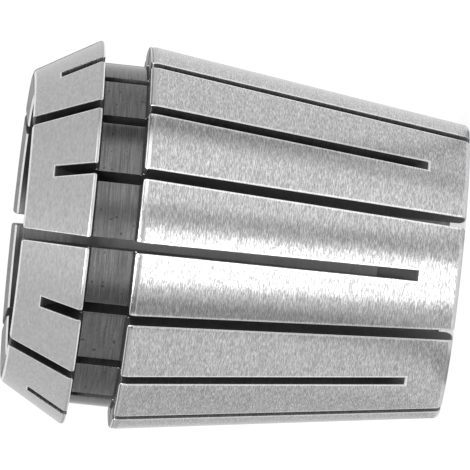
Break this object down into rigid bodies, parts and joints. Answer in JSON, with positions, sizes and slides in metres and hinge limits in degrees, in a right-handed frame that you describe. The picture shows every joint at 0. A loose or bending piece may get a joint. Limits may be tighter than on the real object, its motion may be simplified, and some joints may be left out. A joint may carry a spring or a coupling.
{
  "type": "spring collet",
  "caption": "Double-slit steel spring collet: a shallow seating taper, an extraction groove and a short steep nose round a plain through bore, for gripping a tool shank.",
  "frame": {"origin": "centre of the small rear face, on the bore's axis; the collet stands on that face", "axes": "+Z along the bore's axis towards the nose, +X along the middle of one front slot"},
  "size_m": [0.041, 0.041, 0.0466],
  "materials": {
    "ground_steel": "ground and turned, satin"
  },
  "bodies": {
    "root": {"collet": "ground_steel"}
  },
  "joints": []
}
